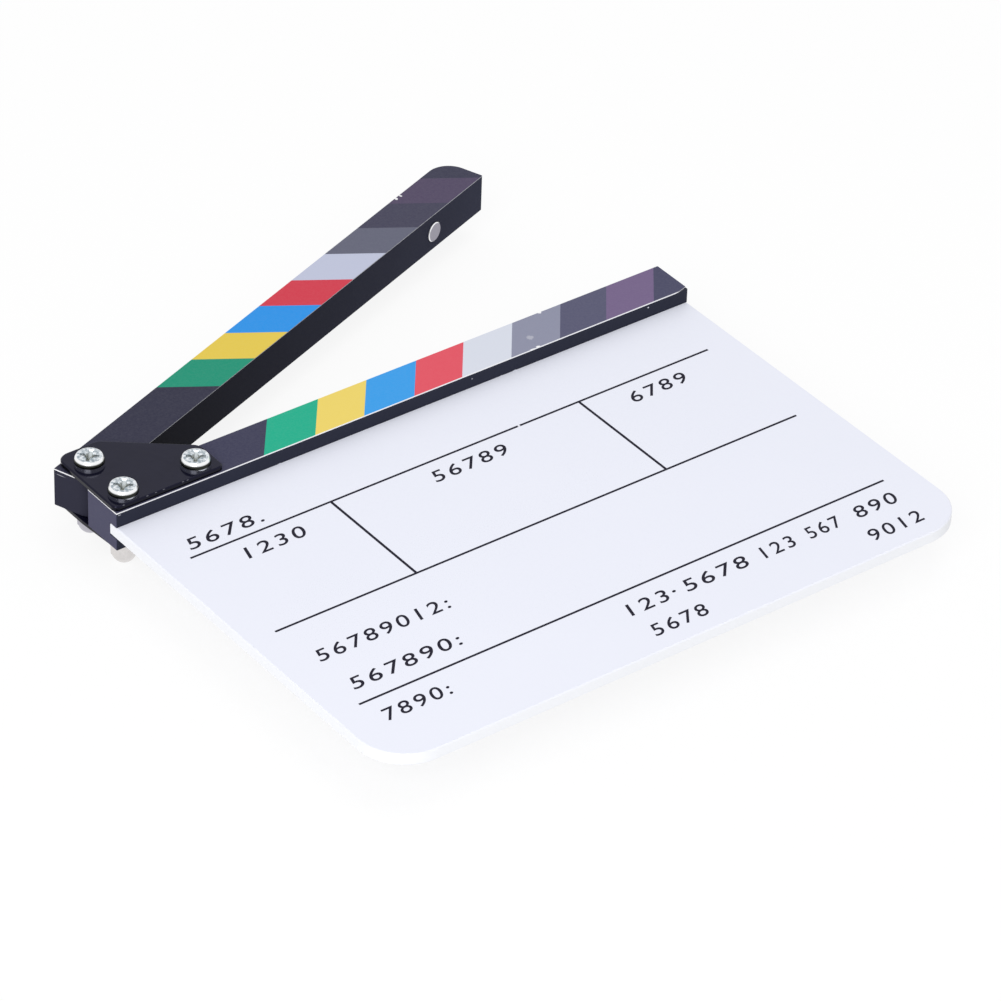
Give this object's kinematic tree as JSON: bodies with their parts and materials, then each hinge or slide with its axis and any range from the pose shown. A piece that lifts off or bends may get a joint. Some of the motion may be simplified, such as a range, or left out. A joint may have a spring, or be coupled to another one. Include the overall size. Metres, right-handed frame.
{
  "type": "clapperboard",
  "caption": "Compact clapperboard: white acrylic slate in a grooved stick, with a colour-striped upper stick that swings on a screwed plate hinge and claps shut on magnets.",
  "frame": {"origin": "middle of the board's bottom edge, at half the sheet's thickness", "axes": "+X along the lower stick away from the hinge, +Y up the board to the sticks, +Z out of the written face"},
  "size_m": [0.1618, 0.1789, 0.0207],
  "materials": {
    "acrylic": "white opal acrylic sheet with black printed rules, semi-gloss",
    "stick_black": "black bar stock, satin",
    "stick_print": "printed film with slanted colour stripes, satin, white at its cut edges",
    "plate_black": "black coated sheet steel, semi-gloss",
    "zinc": "bright zinc plated",
    "nickel": "bright nickel plated",
    "magnet": "nickel plated magnet, dull"
  },
  "bodies": {
    "slate": {"slate_board": "acrylic", "lower_stick": "stick_black", "lower_stick_label": "stick_print", "front_hinge_plate": "plate_black", "rear_hinge_plate": "plate_black", "pivot_screw": "zinc", "corner_screw": "zinc", "outer_screw": "zinc", "pivot_cap_nut": "nickel", "corner_cap_nut": "nickel", "outer_cap_nut": "nickel", "lower_magnet": "magnet"},
    "clapper": {"upper_stick": "stick_black", "upper_stick_label": "stick_print", "upper_magnet": "magnet"}
  },
  "joints": [
    {"name": "clapper_hinge", "type": "hinge", "parent": "slate", "child": "clapper", "pos_m": [-0.075, 0.1213, 0], "axis": [0, 0, 1], "range_deg": [-20.7, 86]}
  ]
}
